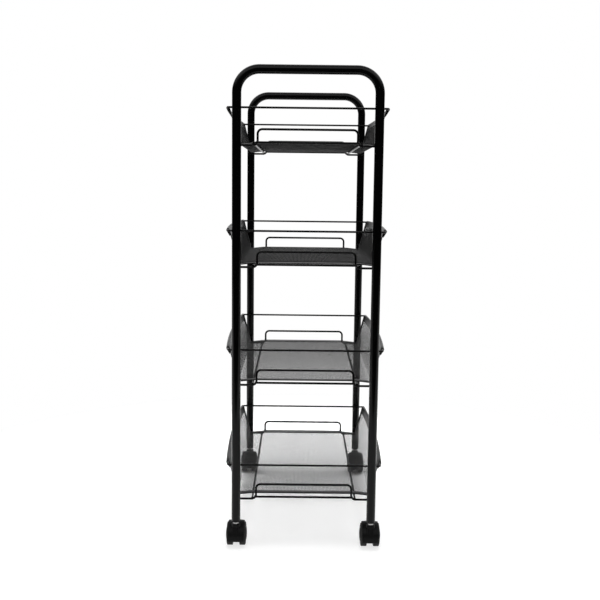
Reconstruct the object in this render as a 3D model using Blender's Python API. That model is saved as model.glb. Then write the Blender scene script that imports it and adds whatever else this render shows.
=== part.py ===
# Four-tier wire shelf cart: two bent-tube hoops carry four mesh baskets on four twin-wheel casters.
# Metres, +Z up. X runs across the cart, Y along it, the front hoop is at -Y.
# The origin is on the floor, under the middle of the cart.

import math

import bmesh
import bpy
from mathutils import Matrix, Vector

# Hoops
HOOP_SPACING = 0.446  # front leg axis to rear leg axis
LEG_SPACING = 0.244  # left leg axis to right leg axis
HOOP_TOP = 0.849  # centreline of the top bar
HOOP_FOOT = 0.0514  # open lower end of each leg
HOOP_BEND = 0.039  # centreline radius of the two bends
TUBE_RADIUS = 0.008
TUBE_WALL = 0.0012

# Baskets, heights counted from the centre of the lower cross wire
TIER_HEIGHTS = (0.727, 0.5157, 0.3043, 0.093)  # top basket first
WIRE_RADIUS = 0.0018
FOOT_DROP = 0.0047  # the guard wire's feet lie this far under the cross wire
GUARD_INSET = 0.0117  # guard wire's plane, inside the leg axis
GUARD_HALF_WIDTH = 0.0865
GUARD_RISE = 0.0225
GUARD_BEND = 0.008
GUARD_FOOT_REACH = 0.127
WELD_SINK = 0.0008  # how far two welded wires run into each other
CROSS_HALF_LENGTH = 0.089
RUNNER_X = 0.093
RUNNER_END_INSET = 0.0098
RIM_WIRE_RADIUS = 0.0015
RIM_RISE = 0.059
RIM_INSET = 0.0099
RIM_HALF_WIDTH = 0.1378
RIM_CORNER = 0.004
RIM_BOW = 0.007  # the long sides swell by this at mid length
RIM_LIFT = 0.0015

# Mesh tray: one sheet, folded twice and rolled over the rim wire
MESH_THICKNESS = 0.0008
HEM_THICKNESS = 0.0016
HEM_WIDTH = 0.013
HEM_DEPTH = 0.011  # how far the rolled edge comes down outside the wall
FLOOR_RISE = 0.0013
FOLD_X = 0.120
FOLD_DROP = 0.003
TRAY_FRONT_INSET = 0.0258  # from the front leg axis
TRAY_REAR_INSET = 0.0141  # from the rear leg axis
ROLL_RADIUS = 0.0026
ROLL_STEPS = 3
TRAY_BAYS = 4
HEM_STEP = 0.0003

# Basket fixings
TAB_WIDTH = 0.012
TAB_THICKNESS = 0.0022
TAB_BOTTOM = 0.0066  # below the cross wire
TAB_TOP = 0.0105  # above the cross wire
SCREW_RISE = 0.0056
SCREW_RADIUS = 0.002
SCREW_HOLE_RADIUS = 0.0024
SCREW_HEAD_RADIUS = 0.0036
SCREW_HEAD_HEIGHT = 0.0022
SCREW_HEAD_CHAMFER = 0.0008
SCREW_RECESS_RADIUS = 0.0016
SCREW_LENGTH = 0.0085

# Casters
WHEEL_RADIUS = 0.021
TRAIL = 0.0155
WHEEL_INNER = 0.006
TREAD_OUTER = 0.0164
TREAD_EDGE = 0.0012
HUB_OUTER = 0.019
HUB_RADIUS = 0.0115
HUB_CROWN = 0.0007
AXLE_RADIUS = 0.0023
AXLE_HALF_LENGTH = 0.0148
RUNNING_GAP = 0.0003
HOOD_INNER = 0.0224
HOOD_OUTER = 0.0243
HOOD_HALF_WIDTH = 0.0146
HOOD_FROM = 12.0  # degrees about the axle, 0 is the trailing side
HOOD_TO = 200.0
WEB_HALF_WIDTH = 0.0056
WEB_RADIUS = 0.016
BOSS_RADIUS = 0.0078
BOSS_FOOT = 0.0405
BOSS_TOP = 0.0456
STAND_FOOT = 0.024
STAND_REAR = 0.006
SPIGOT_RADIUS = 0.0035
SPIGOT_FOOT = 0.0270
COLLAR_RADIUS = 0.0052
COLLAR_TOP = 0.0497
STEM_RADIUS = 0.004
STEM_TOP = 0.080
STEM_TIP = 0.001
RING_GROOVE = (0.0715, 0.0735)  # holds the spring ring that grips the leg socket
RING_GROOVE_DEPTH = 0.0008

# Leg sockets
SOCKET_RADIUS = 0.0062
SOCKET_FLANGE_RADIUS = 0.0079
SOCKET_FOOT = 0.0500
SOCKET_TOP = 0.0820

CLEARANCE = 0.0003
TUBE_RESOLUTION = 4  # a tube has twice this plus 4 sides
WIRE_RESOLUTION = 1
BEND_STEPS = 8
SMALL_BEND_STEPS = 3
WHEEL_SIDES = 20
TURNED_SIDES = 10
SCREW_SIDES = 6
HOOD_STEPS = 12
SMOOTH_ANGLE = math.radians(40)

FRONT, REAR = -1, 1
LEFT, RIGHT = -1, 1
CORNERS = {"front_left": (LEFT, FRONT), "front_right": (RIGHT, FRONT),
           "rear_left": (LEFT, REAR), "rear_right": (RIGHT, REAR)}
LEG_X = LEG_SPACING / 2
LEG_Y = HOOP_SPACING / 2


def clear_scene():
    for thing in list(bpy.data.objects):
        bpy.data.objects.remove(thing)


def material(name, colour, roughness, metallic):
    made = bpy.data.materials.new(name)
    made.use_nodes = True
    shader = made.node_tree.nodes["Principled BSDF"]
    shader.inputs["Base Color"].default_value = (*colour, 1.0)
    shader.inputs["Roughness"].default_value = roughness
    shader.inputs["Metallic"].default_value = metallic
    return made


def evaluated_mesh(thing):
    bpy.context.view_layer.update()
    return bpy.data.meshes.new_from_object(thing.evaluated_get(bpy.context.evaluated_depsgraph_get()))


def add_object(name, mesh):
    thing = bpy.data.objects.new(name, mesh)
    bpy.context.collection.objects.link(thing)
    return thing


def object_from(name, bm):
    mesh = bpy.data.meshes.new(name)
    bm.to_mesh(mesh)
    bm.free()
    return add_object(name, mesh)


def finish(thing, finish_material):
    thing.data.materials.clear()
    thing.data.materials.append(finish_material)
    thing.data.shade_smooth()
    thing.data.set_sharp_from_angle(angle=SMOOTH_ANGLE)
    return thing


def combine(base, tools, operation):
    """Adds the tools to the base, or cuts them from it, and takes the tools away."""
    for tool in tools:
        step = base.modifiers.new(tool.name, "BOOLEAN")
        step.operation = operation
        step.solver = "EXACT"
        step.object = tool
    mesh = evaluated_mesh(base)
    base.modifiers.clear()
    base.data = mesh
    for tool in tools:
        bpy.data.objects.remove(tool)
    return base


# Basic shapes


def rod(name, points, radius, resolution, cyclic=False):
    """A round bar along a line of points, with flat ends."""
    curve = bpy.data.curves.new(name, "CURVE")
    curve.dimensions = "3D"
    curve.bevel_depth = radius
    curve.bevel_resolution = resolution
    curve.use_fill_caps = True
    spline = curve.splines.new("POLY")
    spline.points.add(len(points) - 1)
    for place, point in zip(spline.points, points):
        place.co = (*point, 1.0)
    spline.use_cyclic_u = cyclic
    guide = add_object(name + "_guide", curve)
    bm = bmesh.new()
    mesh = evaluated_mesh(guide)
    bm.from_mesh(mesh)
    bmesh.ops.remove_doubles(bm, verts=bm.verts, dist=1e-6)
    bmesh.ops.recalc_face_normals(bm, faces=bm.faces)
    bpy.data.objects.remove(guide)
    return object_from(name, bm)


def turned(name, profile, sides, turn=0.0):
    """A solid turned about Z from (radius, height) points; a profile off the axis closes on itself."""
    bm = bmesh.new()
    points = [bm.verts.new((radius, 0.0, height)) for radius, height in profile]
    pairs = list(zip(points, points[1:]))
    if profile[0][0] > 0:
        pairs.append((points[-1], points[0]))
    edges = [bm.edges.new(pair) for pair in pairs]
    bmesh.ops.rotate(bm, verts=bm.verts, cent=(0, 0, 0), matrix=Matrix.Rotation(turn, 3, "Z"))
    bmesh.ops.spin(bm, geom=points + edges, cent=(0, 0, 0), axis=(0, 0, 1),
                   angle=math.tau, steps=sides, use_merge=True)
    bmesh.ops.remove_doubles(bm, verts=bm.verts, dist=1e-6)
    bmesh.ops.recalc_face_normals(bm, faces=bm.faces)
    return object_from(name, bm)


def block(name, low, high):
    bm = bmesh.new()
    bmesh.ops.create_cube(bm, size=1.0)
    low, high = Vector(low), Vector(high)
    for corner in bm.verts:
        corner.co = [low[i] + (corner.co[i] + 0.5) * (high[i] - low[i]) for i in range(3)]
    return object_from(name, bm)


def plate(name, outline, half_width):
    """A flat outline of (y, z) points, thick along X."""
    bm = bmesh.new()
    face = bm.faces.new([bm.verts.new((-half_width, y, z)) for y, z in outline])
    grown = bmesh.ops.extrude_face_region(bm, geom=[face])
    moved = [item for item in grown["geom"] if isinstance(item, bmesh.types.BMVert)]
    bmesh.ops.translate(bm, verts=moved, vec=(2 * half_width, 0, 0))
    bmesh.ops.recalc_face_normals(bm, faces=bm.faces)
    return object_from(name, bm)


def pin(name, radius, start, end, sides):
    """A straight round pin between two points."""
    start, end = Vector(start), Vector(end)
    bm = bmesh.new()
    bmesh.ops.create_cone(bm, cap_ends=True, segments=sides, radius1=radius, radius2=radius,
                          depth=(end - start).length)
    lie = (end - start).to_track_quat("Z", "Y").to_matrix().to_4x4()
    bmesh.ops.transform(bm, verts=bm.verts, matrix=Matrix.Translation((start + end) / 2) @ lie)
    return object_from(name, bm)


def arc(centre, radius, start, end, steps):
    """Points on an arc in a flat pair of axes, angles in degrees."""
    angles = [math.radians(start + (end - start) * i / steps) for i in range(steps + 1)]
    return [(centre[0] + radius * math.cos(a), centre[1] + radius * math.sin(a)) for a in angles]


# Frame


def hoop_path(extra=0.0):
    """The hoop's centreline in (x, z), from one foot over the top to the other."""
    right_bend = arc((LEG_X - HOOP_BEND, HOOP_TOP - HOOP_BEND), HOOP_BEND, 0, 90, BEND_STEPS)
    left_bend = [(-x, z) for x, z in reversed(right_bend)]
    foot = HOOP_FOOT - extra
    return [(LEG_X, foot), *right_bend, *left_bend, (-LEG_X, foot)]


def hoop(name, end, finish_material):
    y = end * LEG_Y
    tube = rod(name, [(x, y, z) for x, z in hoop_path()], TUBE_RADIUS, TUBE_RESOLUTION)
    bore_path = [(x, y, z) for x, z in hoop_path(TUBE_WALL)]
    cuts = [rod("bore", bore_path, TUBE_RADIUS - TUBE_WALL, TUBE_RESOLUTION)]
    for tier in TIER_HEIGHTS:
        for side in (LEFT, RIGHT):
            z = tier + SCREW_RISE
            inside = (side * LEG_X, y - end * TUBE_RADIUS / 2, z)
            outside = (side * LEG_X, y - end * (TUBE_RADIUS + TUBE_WALL), z)
            cuts.append(pin("screw_hole", SCREW_HOLE_RADIUS, inside, outside, SCREW_SIDES))
    return finish(combine(tube, cuts, "DIFFERENCE"), finish_material)


def leg_socket(name, side, end, finish_material):
    """Plastic sleeve in the foot of a leg, which grips the caster's stem."""
    flange_top = HOOP_FOOT - CLEARANCE
    bore = STEM_RADIUS + CLEARANCE
    profile = [(bore, SOCKET_FOOT), (SOCKET_FLANGE_RADIUS, SOCKET_FOOT), (SOCKET_FLANGE_RADIUS, flange_top),
               (SOCKET_RADIUS, flange_top), (SOCKET_RADIUS, SOCKET_TOP), (bore, SOCKET_TOP)]
    sleeve = turned(name, profile, TURNED_SIDES)
    sleeve.location = (side * LEG_X, end * LEG_Y, 0)
    return finish(sleeve, finish_material)


# Casters


def caster_stem(name, side, end, finish_material):
    """Turned steel pin: spigot in the housing, collar, and a grooved pin in the leg socket."""
    groove_foot, groove_top = RING_GROOVE
    waist = STEM_RADIUS - RING_GROOVE_DEPTH
    collar_foot = BOSS_TOP + CLEARANCE
    profile = [(0, SPIGOT_FOOT), (SPIGOT_RADIUS, SPIGOT_FOOT), (SPIGOT_RADIUS, collar_foot),
               (COLLAR_RADIUS, collar_foot), (COLLAR_RADIUS, COLLAR_TOP), (STEM_RADIUS, COLLAR_TOP),
               (STEM_RADIUS, groove_foot), (waist, groove_foot), (waist, groove_top), (STEM_RADIUS, groove_top),
               (STEM_RADIUS, STEM_TOP - STEM_TIP), (STEM_RADIUS - STEM_TIP, STEM_TOP), (0, STEM_TOP)]
    stem = turned(name, profile, TURNED_SIDES)
    stem.location = (side * LEG_X, end * LEG_Y, 0)
    return finish(stem, finish_material)


def caster_housing(name, finish_material):
    """Hood over both wheels, a web between them and the boss that turns on the stem."""
    axle = (TRAIL, WHEEL_RADIUS)
    hood_outline = (arc(axle, HOOD_OUTER, HOOD_FROM, HOOD_TO, HOOD_STEPS)
                    + arc(axle, HOOD_INNER, HOOD_TO, HOOD_FROM, HOOD_STEPS))
    hood_middle = (HOOD_INNER + HOOD_OUTER) / 2
    web_outline = arc(axle, hood_middle, 20, 160, 7) + arc(axle, WEB_RADIUS, 190, 350, 7)
    stand_outline = [(-BOSS_RADIUS, STAND_FOOT), (STAND_REAR, STAND_FOOT), (STAND_REAR, BOSS_FOOT),
                     (-BOSS_RADIUS, BOSS_FOOT)]
    boss_profile = [(0, BOSS_FOOT - CLEARANCE), (BOSS_RADIUS, BOSS_FOOT - CLEARANCE), (BOSS_RADIUS, BOSS_TOP),
                    (0, BOSS_TOP)]
    hood = plate(name, hood_outline, HOOD_HALF_WIDTH)
    web = plate("web", web_outline, WEB_HALF_WIDTH)
    stand = plate("stand", stand_outline, WEB_HALF_WIDTH)
    boss = turned("boss", boss_profile, TURNED_SIDES)
    combine(hood, [web, boss, stand], "UNION")
    spigot_hole = pin("spigot_hole", SPIGOT_RADIUS + RUNNING_GAP, (0, 0, SPIGOT_FOOT - RUNNING_GAP),
                      (0, 0, BOSS_TOP + HOOD_OUTER), TURNED_SIDES)
    axle_hole = pin("axle_hole", AXLE_RADIUS + RUNNING_GAP, (-HUB_OUTER, *axle), (HUB_OUTER, *axle), TURNED_SIDES)
    combine(hood, [spigot_hole, axle_hole], "DIFFERENCE")
    return finish(hood, finish_material)


def caster_wheel(name, finish_material):
    """One of the twin wheels, turned about Z: the hub cap at the top, the blind bore underneath."""
    rim = WHEEL_RADIUS / math.cos(math.pi / WHEEL_SIDES)  # the flats, not the corners, touch the floor
    bore = AXLE_RADIUS + RUNNING_GAP
    bore_end = AXLE_HALF_LENGTH + 2 * RUNNING_GAP
    profile = [(0, bore_end), (bore, bore_end), (bore, WHEEL_INNER), (rim - TREAD_EDGE, WHEEL_INNER),
               (rim, WHEEL_INNER + TREAD_EDGE), (rim, TREAD_OUTER - TREAD_EDGE), (rim - TREAD_EDGE, TREAD_OUTER),
               (HUB_RADIUS, HUB_OUTER - HUB_CROWN), (HUB_RADIUS / 2, HUB_OUTER), (0, HUB_OUTER)]
    wheel = turned(name, profile, WHEEL_SIDES, turn=math.pi / WHEEL_SIDES)
    return finish(wheel, finish_material)


def caster(corner, side, end, finishes):
    """Each caster is built pointing +Y and turned to trail towards the middle of the cart."""
    name = "caster_" + corner
    swivel = add_object(name + "_swivel", None)
    swivel.location = (side * LEG_X, end * LEG_Y, 0)
    swivel.rotation_euler = (0, 0, 0 if end == FRONT else math.pi)
    caster_stem(name + "_stem", side, end, finishes["zinc"])
    housing = caster_housing(name + "_housing", finishes["plastic"])
    axle = pin(name + "_axle", AXLE_RADIUS, (-AXLE_HALF_LENGTH, 0, 0), (AXLE_HALF_LENGTH, 0, 0), TURNED_SIDES)
    finish(axle, finishes["zinc"])
    axle.location = (0, TRAIL, WHEEL_RADIUS)
    for piece in (housing, axle):
        piece.parent = swivel
    for wheel_side, word in ((LEFT, "left"), (RIGHT, "right")):
        wheel = caster_wheel(f"{name}_wheel_{word}", finishes["tread"])
        local_side = wheel_side if end == FRONT else -wheel_side
        wheel.parent = swivel
        wheel.location = (0, TRAIL, WHEEL_RADIUS)
        wheel.rotation_euler = (0, local_side * math.pi / 2, 0)


# Baskets


def along_side(y):
    """0 at the rim's corners and 1 at mid length, on a smooth bow."""
    return 1 - (y / (LEG_Y - RIM_INSET)) ** 2


def rim_x(y):
    return RIM_HALF_WIDTH + RIM_BOW * along_side(y)


def rim_z(tier, y):
    return tier + RIM_RISE + RIM_LIFT * along_side(y)


def bay_lines():
    """Places along the tray from the front hem's inner edge to the rear hem's."""
    front = TRAY_FRONT_INSET - LEG_Y + HEM_WIDTH
    rear = LEG_Y - TRAY_REAR_INSET - HEM_WIDTH
    return [front + (rear - front) * i / TRAY_BAYS for i in range(TRAY_BAYS + 1)]


def tray_stations():
    """Places along the tray as (y, thickness); the hems at both ends are two sheets thick."""
    front, *middle, rear = bay_lines()
    return ([(front - HEM_WIDTH, HEM_THICKNESS), (front, HEM_THICKNESS), (front + HEM_STEP, MESH_THICKNESS)]
            + [(y, MESH_THICKNESS) for y in middle]
            + [(rear - HEM_STEP, MESH_THICKNESS), (rear, HEM_THICKNESS), (rear + HEM_WIDTH, HEM_THICKNESS)])


def rim(name, tier, finish_material):
    """One closed wire: straight across the ends, bowed along the sides."""
    end_y = LEG_Y - RIM_INSET
    corner = arc((rim_x(end_y - RIM_CORNER) - RIM_CORNER, end_y - RIM_CORNER), RIM_CORNER, 0, 90, SMALL_BEND_STEPS)
    right_side = [(rim_x(y), y) for y in bay_lines()]
    right = [(x, -y) for x, y in reversed(corner)] + right_side + corner
    loop = right + [(-x, y) for x, y in reversed(right)]
    points = [(x, y, rim_z(tier, y)) for x, y in loop]
    return finish(rod(name, points, RIM_WIRE_RADIUS, WIRE_RESOLUTION, cyclic=True), finish_material)


def guard_wire(tier, end):
    """Foot, bend, upright, corner and top bar of the guard at one end, left to right."""
    foot_z = tier - FOOT_DROP
    lower_bend = arc((GUARD_HALF_WIDTH + GUARD_BEND, foot_z + GUARD_BEND), GUARD_BEND, 270, 180, SMALL_BEND_STEPS)
    top_bend = arc((GUARD_HALF_WIDTH - GUARD_BEND, tier + GUARD_RISE - GUARD_BEND), GUARD_BEND, 0, 90,
                   SMALL_BEND_STEPS)
    right = [(GUARD_FOOT_REACH, foot_z), *lower_bend, *top_bend]
    path = [(-x, z) for x, z in right] + list(reversed(right))
    y = end * (LEG_Y - GUARD_INSET)
    return rod("guard", [(x, y, z) for x, z in path], WIRE_RADIUS, WIRE_RESOLUTION)


def floor_frame(name, tier, finish_material):
    """The welded wires under a tray: two guards, two cross wires, two runners and four screw tabs."""
    pieces = [guard_wire(tier, FRONT), guard_wire(tier, REAR)]
    weld = 2 * WIRE_RADIUS - WELD_SINK
    for end in (FRONT, REAR):
        y = end * (LEG_Y - GUARD_INSET + weld)
        pieces.append(rod("cross", [(-CROSS_HALF_LENGTH, y, tier), (CROSS_HALF_LENGTH, y, tier)],
                          WIRE_RADIUS, WIRE_RESOLUTION))
    runner_z = tier - FOOT_DROP + weld
    reach = LEG_Y - RUNNER_END_INSET
    for side in (LEFT, RIGHT):
        pieces.append(rod("runner", [(side * RUNNER_X, -reach, runner_z), (side * RUNNER_X, reach, runner_z)],
                          WIRE_RADIUS, WIRE_RESOLUTION))
    holes = []
    for side, end in CORNERS.values():
        inner = end * (LEG_Y - TUBE_RADIUS - CLEARANCE)
        outer = inner - end * TAB_THICKNESS
        low = (side * LEG_X - TAB_WIDTH / 2, min(inner, outer), tier - TAB_BOTTOM)
        high = (side * LEG_X + TAB_WIDTH / 2, max(inner, outer), tier + TAB_TOP)
        pieces.append(block("tab", low, high))
        hole_z = tier + SCREW_RISE
        holes.append(pin("tab_hole", SCREW_HOLE_RADIUS, (side * LEG_X, inner + end * TAB_THICKNESS, hole_z),
                         (side * LEG_X, outer - end * TAB_THICKNESS, hole_z), SCREW_SIDES))
    frame = pieces[0]
    frame.name = name
    combine(frame, pieces[1:], "UNION")
    combine(frame, holes, "DIFFERENCE")
    return finish(frame, finish_material)


def tray_section(tier, y):
    """Middle line of the sheet across the cart at y, from the left rolled edge to the right one."""
    fold = Vector((FOLD_X, tier + FLOOR_RISE - FOLD_DROP))
    rim_centre = Vector((rim_x(y), rim_z(tier, y)))
    reach = rim_centre - fold
    lean = math.atan2(reach.y, reach.x) + math.asin(ROLL_RADIUS / reach.length)
    up = Vector((math.cos(lean), math.sin(lean)))
    out = Vector((up.y, -up.x))
    touch = rim_centre - out * ROLL_RADIUS
    roll = [rim_centre + ROLL_RADIUS * (-out * math.cos(a) + up * math.sin(a))
            for a in (math.pi * i / ROLL_STEPS for i in range(ROLL_STEPS + 1))]
    roll_end = touch - up * HEM_DEPTH + out * (HEM_THICKNESS + CLEARANCE)
    right = [Vector((RUNNER_X, tier + FLOOR_RISE)), fold, *roll, roll_end]
    return [Vector((-p.x, p.y)) for p in reversed(right)] + right


def offset_line(line, distance):
    """The line moved sideways by a distance, with mitred corners."""
    moved = []
    for i, point in enumerate(line):
        before = (point - line[i - 1]).normalized() if i > 0 else None
        after = (line[i + 1] - point).normalized() if i < len(line) - 1 else None
        first, second = before or after, after or before
        normal = Vector((-first.y - second.y, first.x + second.x)).normalized()
        stretch = normal.dot(Vector((-first.y, first.x)))
        moved.append(point + normal * (distance / stretch))
    return moved


def mesh_tray(name, tier, finish_material):
    bm = bmesh.new()
    rows = []
    for y, thickness in tray_stations():
        line = tray_section(tier, y)
        row = [[bm.verts.new((p.x, y, p.y)) for p in offset_line(line, shift)]
               for shift in (thickness / 2, -thickness / 2)]
        rows.append(row)
    last = len(rows[0][0]) - 1
    for near, far in zip(rows, rows[1:]):
        for i in range(last):
            bm.faces.new((near[0][i], near[0][i + 1], far[0][i + 1], far[0][i]))
            bm.faces.new((near[1][i + 1], near[1][i], far[1][i], far[1][i + 1]))
        for i in (0, last):
            bm.faces.new((near[0][i], near[1][i], far[1][i], far[0][i]))
    for row in (rows[0], rows[-1]):
        for i in range(last):
            bm.faces.new((row[0][i], row[0][i + 1], row[1][i + 1], row[1][i]))
    bmesh.ops.recalc_face_normals(bm, faces=bm.faces)
    return finish(object_from(name, bm), finish_material)


def screw(name, tier, side, end, finish_material):
    """Pan-head screw with a driving recess, from inside the basket into the leg."""
    recess = SCREW_HEAD_HEIGHT / 2
    tip = SCREW_HEAD_HEIGHT + SCREW_LENGTH
    profile = [(0, -recess), (SCREW_RECESS_RADIUS, -recess), (SCREW_RECESS_RADIUS, 0),
               (SCREW_HEAD_RADIUS - SCREW_HEAD_CHAMFER, 0), (SCREW_HEAD_RADIUS, -SCREW_HEAD_CHAMFER),
               (SCREW_HEAD_RADIUS, -SCREW_HEAD_HEIGHT), (SCREW_RADIUS, -SCREW_HEAD_HEIGHT),
               (SCREW_RADIUS, -tip), (0, -tip)]
    thing = turned(name, profile, SCREW_SIDES)
    head_y = LEG_Y - TUBE_RADIUS - 2 * CLEARANCE - TAB_THICKNESS - SCREW_HEAD_HEIGHT
    thing.location = (side * LEG_X, end * head_y, tier + SCREW_RISE)
    thing.rotation_euler = (end * math.pi / 2, 0, 0)
    return finish(thing, finish_material)


def basket(number, tier, finishes):
    name = f"basket_{number}"
    mesh_tray(name + "_mesh_tray", tier, finishes["mesh"])
    rim(name + "_rim_wire", tier, finishes["wire"])
    floor_frame(name + "_floor_frame", tier, finishes["wire"])
    for corner, (side, end) in CORNERS.items():
        screw(f"{name}_screw_{corner}", tier, side, end, finishes["screw"])


def main():
    clear_scene()
    finishes = {
        "tube": material("tube_coat", (0.012, 0.012, 0.013), 0.28, 0.0),
        "wire": material("wire_coat", (0.012, 0.012, 0.013), 0.30, 0.0),
        "mesh": material("mesh_coat", (0.025, 0.025, 0.027), 0.45, 0.0),
        "screw": material("black_screw", (0.03, 0.03, 0.032), 0.35, 1.0),
        "plastic": material("caster_plastic", (0.016, 0.016, 0.017), 0.45, 0.0),
        "tread": material("wheel_plastic", (0.020, 0.020, 0.021), 0.5, 0.0),
        "zinc": material("zinc_plate", (0.70, 0.70, 0.72), 0.28, 1.0),
    }
    hoop("hoop_front", FRONT, finishes["tube"])
    hoop("hoop_rear", REAR, finishes["tube"])
    for corner, (side, end) in CORNERS.items():
        leg_socket("leg_socket_" + corner, side, end, finishes["plastic"])
        caster(corner, side, end, finishes)
    for number, tier in enumerate(TIER_HEIGHTS, start=1):
        basket(number, tier, finishes)


main()
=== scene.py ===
import math

import bmesh
import bpy
from mathutils import Matrix, Vector


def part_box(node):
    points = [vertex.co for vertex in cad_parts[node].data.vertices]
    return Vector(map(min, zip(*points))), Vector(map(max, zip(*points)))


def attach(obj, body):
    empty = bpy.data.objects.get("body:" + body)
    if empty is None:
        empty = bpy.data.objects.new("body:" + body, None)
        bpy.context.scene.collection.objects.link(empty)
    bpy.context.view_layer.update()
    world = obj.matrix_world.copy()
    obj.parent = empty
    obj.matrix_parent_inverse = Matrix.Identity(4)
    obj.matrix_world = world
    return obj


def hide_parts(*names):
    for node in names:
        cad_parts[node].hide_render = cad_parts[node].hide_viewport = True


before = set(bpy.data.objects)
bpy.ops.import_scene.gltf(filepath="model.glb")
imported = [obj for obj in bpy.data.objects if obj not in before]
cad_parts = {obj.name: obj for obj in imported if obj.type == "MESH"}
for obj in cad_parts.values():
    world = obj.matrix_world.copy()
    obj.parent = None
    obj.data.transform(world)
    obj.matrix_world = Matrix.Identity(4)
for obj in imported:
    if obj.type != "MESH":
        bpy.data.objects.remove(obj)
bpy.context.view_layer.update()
bpy.context.scene.view_settings.view_transform = "Standard"

mainBody = "frame_and_baskets"
corners = {"front_left": (-1, -1), "front_right": (1, -1), "rear_left": (-1, 1), "rear_right": (1, 1)}
basketNumbers = (1, 2, 3, 4)


class Value:
    # one output socket: sums and products of values add their own Math nodes
    def __init__(self, tree, socket):
        self.tree = tree
        self.socket = socket

    def other(self, key):
        return Value(self.tree, self.socket.node.outputs[key])

    def __add__(self, term):
        return self.tree.maths("ADD", self, term)

    def __radd__(self, term):
        return self.tree.maths("ADD", term, self)

    def __sub__(self, term):
        return self.tree.maths("SUBTRACT", self, term)

    def __rsub__(self, term):
        return self.tree.maths("SUBTRACT", term, self)

    def __mul__(self, term):
        return self.tree.maths("MULTIPLY", self, term)

    def __rmul__(self, term):
        return self.tree.maths("MULTIPLY", term, self)

    def __gt__(self, term):
        return self.tree.maths("GREATER_THAN", self, term)

    def __abs__(self):
        return self.tree.maths("ABSOLUTE", self)


class Tree:
    def __init__(self, nodeTree):
        self.nodeTree = nodeTree

    def add(self, kind, settings=None, sockets=None, output=0):
        node = self.nodeTree.nodes.new(kind)
        for name, setting in (settings or {}).items():
            if name == "stops":
                ramp = node.color_ramp.elements
                while len(ramp) < len(setting):
                    ramp.new(0.5)
                for stop, (place, shade) in zip(ramp, setting):
                    stop.position = place
                    stop.color = (shade, shade, shade, 1.0)
            else:
                setattr(node, name, setting)
        for key, value in (sockets or {}).items():
            if isinstance(value, Value):
                self.nodeTree.links.new(value.socket, node.inputs[key])
            else:
                node.inputs[key].default_value = value
        return Value(self, node.outputs[output]) if node.outputs else node

    def maths(self, operation, first, second=None):
        sockets = {0: first} if second is None else {0: first, 1: second}
        return self.add("ShaderNodeMath", {"operation": operation}, sockets)


# Materials

def shaderTree(name):
    made = bpy.data.materials.new(name)
    made.use_nodes = True
    made.node_tree.nodes.clear()
    return made, Tree(made.node_tree)


def colourMix(tree, factor, plain, laidOver):
    return tree.add("ShaderNodeMix", {"data_type": "RGBA"}, {
        0: factor, 6: (*plain, 1.0), 7: (*laidOver, 1.0)}, output=2)


def noise(tree, place, size, detail=2.0, roughness=0.5):
    return tree.add("ShaderNodeTexNoise", {}, {
        "Vector": place, "Scale": 1.0 / size, "Detail": detail, "Roughness": roughness})


def finishMaterial(tree, look, colour, roughness, height):
    bump = tree.add("ShaderNodeBump", {}, {"Strength": look["bumpStrength"], "Distance": look["bumpDepth"],
                                           "Height": height})
    shader = tree.add("ShaderNodeBsdfPrincipled", {}, {
        "Base Color": colour, "Roughness": roughness, "Metallic": look["metallic"],
        "Specular IOR Level": look["specular"], "Normal": bump})
    tree.add("ShaderNodeOutputMaterial", {}, {"Surface": shader})


# powder coat: orange peel, faint clouds of gloss, and a few specks of dust
def powderCoat(name, look):
    made, tree = shaderTree(name)
    place = tree.add("ShaderNodeTexCoord", output="Object")
    peel = noise(tree, place, look["peelSize"], detail=1.0)
    cloud = noise(tree, place, look["cloudSize"], detail=3.0)
    grit = noise(tree, place, look["dustSize"], roughness=0.6)
    dust = tree.add("ShaderNodeValToRGB", {"stops": ((look["dustFrom"], 0.0), (look["dustFull"], 1.0))}, {0: grit})
    paler = dust * look["dustShare"] + cloud * look["cloudShare"]
    colour = colourMix(tree, paler, look["colour"], look["dustColour"])
    roughness = look["roughness"] + (cloud - 0.5) * look["glossSpread"] + dust * look["dustDulling"]
    finishMaterial(tree, look, colour, roughness, peel)
    return made


tubeCoat = powderCoat("tubeCoat", {
    "colour": (0.0015, 0.0015, 0.0016), "roughness": 0.18, "metallic": 0.0, "specular": 0.15,
    "peelSize": 0.0014, "bumpDepth": 0.00003, "bumpStrength": 0.35,
    "cloudSize": 0.07, "cloudShare": 0.008, "glossSpread": 0.08,
    "dustSize": 0.0022, "dustFrom": 0.66, "dustFull": 0.80, "dustShare": 0.05, "dustDulling": 0.16,
    "dustColour": (0.10, 0.098, 0.094)})
wireCoat = powderCoat("wireCoat", {
    "colour": (0.0016, 0.0016, 0.0017), "roughness": 0.28, "metallic": 0.0, "specular": 0.14,
    "peelSize": 0.0011, "bumpDepth": 0.00002, "bumpStrength": 0.35,
    "cloudSize": 0.04, "cloudShare": 0.008, "glossSpread": 0.12,
    "dustSize": 0.0018, "dustFrom": 0.66, "dustFull": 0.80, "dustShare": 0.05, "dustDulling": 0.15,
    "dustColour": (0.10, 0.098, 0.094)})
meshCoat = powderCoat("meshCoat", {
    "colour": (0.0018, 0.0018, 0.0020), "roughness": 0.38, "metallic": 0.0, "specular": 0.32,
    "peelSize": 0.0006, "bumpDepth": 0.00002, "bumpStrength": 0.30,
    "cloudSize": 0.05, "cloudShare": 0.02, "glossSpread": 0.14,
    "dustSize": 0.0030, "dustFrom": 0.62, "dustFull": 0.80, "dustShare": 0.08, "dustDulling": 0.12,
    "dustColour": (0.12, 0.118, 0.112)})
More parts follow.
